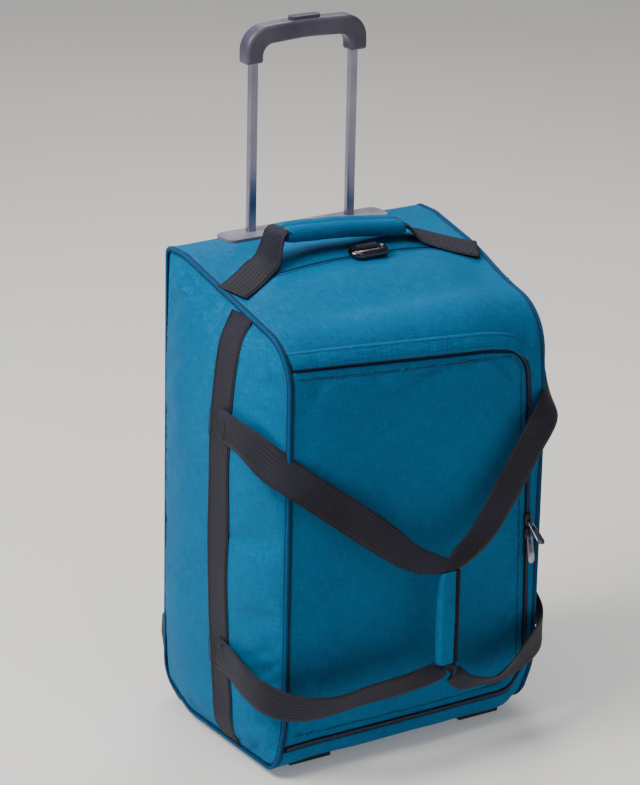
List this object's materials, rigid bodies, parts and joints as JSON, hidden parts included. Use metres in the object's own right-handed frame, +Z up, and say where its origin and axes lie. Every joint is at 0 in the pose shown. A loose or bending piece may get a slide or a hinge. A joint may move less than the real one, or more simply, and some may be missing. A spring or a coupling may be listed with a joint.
{
  "type": "rolling duffel bag",
  "caption": "Soft rolling duffel with a telescoping handle, two wheels, a zipped front flap, a wrapped pair of webbing carry straps and a padded top handle.",
  "frame": {"origin": "centre of the bounding box on the floor, with the bag standing on its wheels and front feet", "axes": "+Z up along the trolley handle, -Y out of the zipped front, +X to the right seen from the front"},
  "size_m": [0.4253, 0.3483, 0.828],
  "materials": {
    "bezel_plastic": "satin moulded",
    "black_plastic": "moulded",
    "board_plastic": "sheet",
    "fabric": "fine woven polyester",
    "grip_plastic": "satin moulded",
    "gunmetal": "gunmetal plated",
    "puller_metal": "plated",
    "steel": "bright",
    "tube_metal": "satin anodised",
    "tyre": "polyurethane",
    "webbing": "ribbed webbing",
    "zip_fabric": "coil zipper"
  },
  "bodies": {
    "bag": {"back_board": "board_plastic", "back_panel": "fabric", "bag_zip_tape": "zip_fabric", "bottom_board": "board_plastic", "bottom_panel": "fabric", "bracket_screws": "steel", "front_feet": "black_plastic", "front_panel": "fabric", "handle_bezel": "bezel_plastic", "left_outer_tube": "tube_metal", "left_piping": "fabric", "left_side_panel": "fabric", "left_side_webbing": "webbing", "left_strap_patches": "webbing", "left_wheel_axle": "steel", "left_wheel_housing": "black_plastic", "right_outer_tube": "tube_metal", "right_piping": "fabric", "right_side_panel": "fabric", "right_side_webbing": "webbing", "right_strap_patches": "webbing", "right_wheel_axle": "steel", "right_wheel_housing": "black_plastic", "ring_tab": "webbing", "storm_flap": "fabric", "top_panel": "fabric", "tube_foot_bracket": "black_plastic"},
    "front_flap": {"front_flap": "fabric", "flap_zip_tape": "zip_fabric"},
    "upper_slider": {"upper_zip_slider": "black_plastic"},
    "upper_puller": {"upper_zip_puller": "puller_metal"},
    "lower_slider": {"lower_zip_slider": "black_plastic"},
    "lower_puller": {"lower_zip_puller": "puller_metal"},
    "left_carry_loop": {"left_carry_strap": "webbing", "grip_wrap": "fabric", "grip_wrap_binding": "webbing"},
    "right_carry_loop": {"right_carry_strap": "webbing"},
    "top_handle": {"top_handle_pad": "fabric", "top_handle_webbing": "webbing"},
    "ring": {"strap_ring": "gunmetal"},
    "trolley": {"left_inner_tube": "tube_metal", "right_inner_tube": "tube_metal", "grip_shell": "grip_plastic", "left_lock_block": "black_plastic", "right_lock_block": "black_plastic", "button_spring": "steel"},
    "release": {"release_button": "grip_plastic", "release_link": "black_plastic", "push_rods": "steel"},
    "left_pin": {"left_lock_pin": "steel"},
    "right_pin": {"right_lock_pin": "steel"},
    "left_wheel": {"left_wheel_hub": "black_plastic", "left_wheel_tyre": "tyre"},
    "right_wheel": {"right_wheel_hub": "black_plastic", "right_wheel_tyre": "tyre"}
  },
  "joints": [
    {"name": "flap_hinge", "type": "hinge", "parent": "bag", "child": "front_flap", "pos_m": [-0.1705, -0.1157, 0.272], "axis": [0, 0, -1], "range_deg": [0, 100]},
    {"name": "left_loop_swing", "type": "hinge", "parent": "bag", "child": "left_carry_loop", "pos_m": [-0.212, -0.0347, 0.272], "axis": [0, 0, -1], "range_deg": [0, 100], "deforming": ["left_carry_strap"]},
    {"name": "right_loop_swing", "type": "hinge", "parent": "bag", "child": "right_carry_loop", "pos_m": [0.212, -0.0347, 0.272], "axis": [0, 0, 1], "range_deg": [0, 100], "deforming": ["right_carry_strap"]},
    {"name": "upper_slider_slide", "type": "slide", "parent": "front_flap", "child": "upper_slider", "axis": [-0.0273, 0, 0.9996], "range_m": [0, 0.15]},
    {"name": "upper_puller_swing", "type": "hinge", "parent": "upper_slider", "child": "upper_puller", "pos_m": [0.15704, -0.1208, 0.2578], "axis": [-1, 0, 0], "range_deg": [-30, 45]},
    {"name": "lower_slider_slide", "type": "slide", "parent": "front_flap", "child": "lower_slider", "axis": [-0.0273, 0, 0.9996], "range_m": [-0.13, 0]},
    {"name": "lower_puller_swing", "type": "hinge", "parent": "lower_slider", "child": "lower_puller", "pos_m": [0.15753, -0.1208, 0.2398], "axis": [-1, 0, 0], "range_deg": [-4, 60]},
    {"name": "top_handle_tilt", "type": "hinge", "parent": "bag", "child": "top_handle", "pos_m": [0, 0.0213, 0.55442], "axis": [1, 0, 0], "range_deg": [0, 40], "deforming": ["top_handle_webbing"]},
    {"name": "ring_flip", "type": "hinge", "parent": "bag", "child": "ring", "pos_m": [0.018, 0.0333, 0.57349], "axis": [-1, 0, 0], "range_deg": [0, 95]},
    {"name": "trolley_slide", "type": "slide", "parent": "bag", "child": "trolley", "axis": [0, 0, 1], "range_m": [-0.195, 0.2]},
    {"name": "button_press", "type": "slide", "parent": "trolley", "child": "release", "axis": [0, 0, -1], "range_m": [0, 0.004], "stiffness_N_per_m": 1500, "springref_m": -0.003, "deforming": ["button_spring"]},
    {"name": "left_pin_retract", "type": "slide", "parent": "trolley", "child": "left_pin", "axis": [1, 0, 0], "range_m": [0, 0.0016]},
    {"name": "left_wheel_spin", "type": "hinge", "parent": "bag", "child": "left_wheel", "pos_m": [-0.1478, 0.1293, 0.031], "axis": [1, 0, 0], "continuous": true},
    {"name": "right_pin_retract", "type": "slide", "parent": "trolley", "child": "right_pin", "axis": [-1, 0, 0], "range_m": [0, 0.0016]},
    {"name": "right_wheel_spin", "type": "hinge", "parent": "bag", "child": "right_wheel", "pos_m": [0.1478, 0.1293, 0.031], "axis": [1, 0, 0], "continuous": true}
  ],
  "couplings": [
    {"joint": "left_loop_swing", "follows": "flap_hinge", "ratio": 1},
    {"joint": "right_loop_swing", "follows": "flap_hinge", "ratio": 1},
    {"joint": "left_pin_retract", "follows": "button_press", "ratio": 0.4},
    {"joint": "right_pin_retract", "follows": "button_press", "ratio": 0.4}
  ]
}
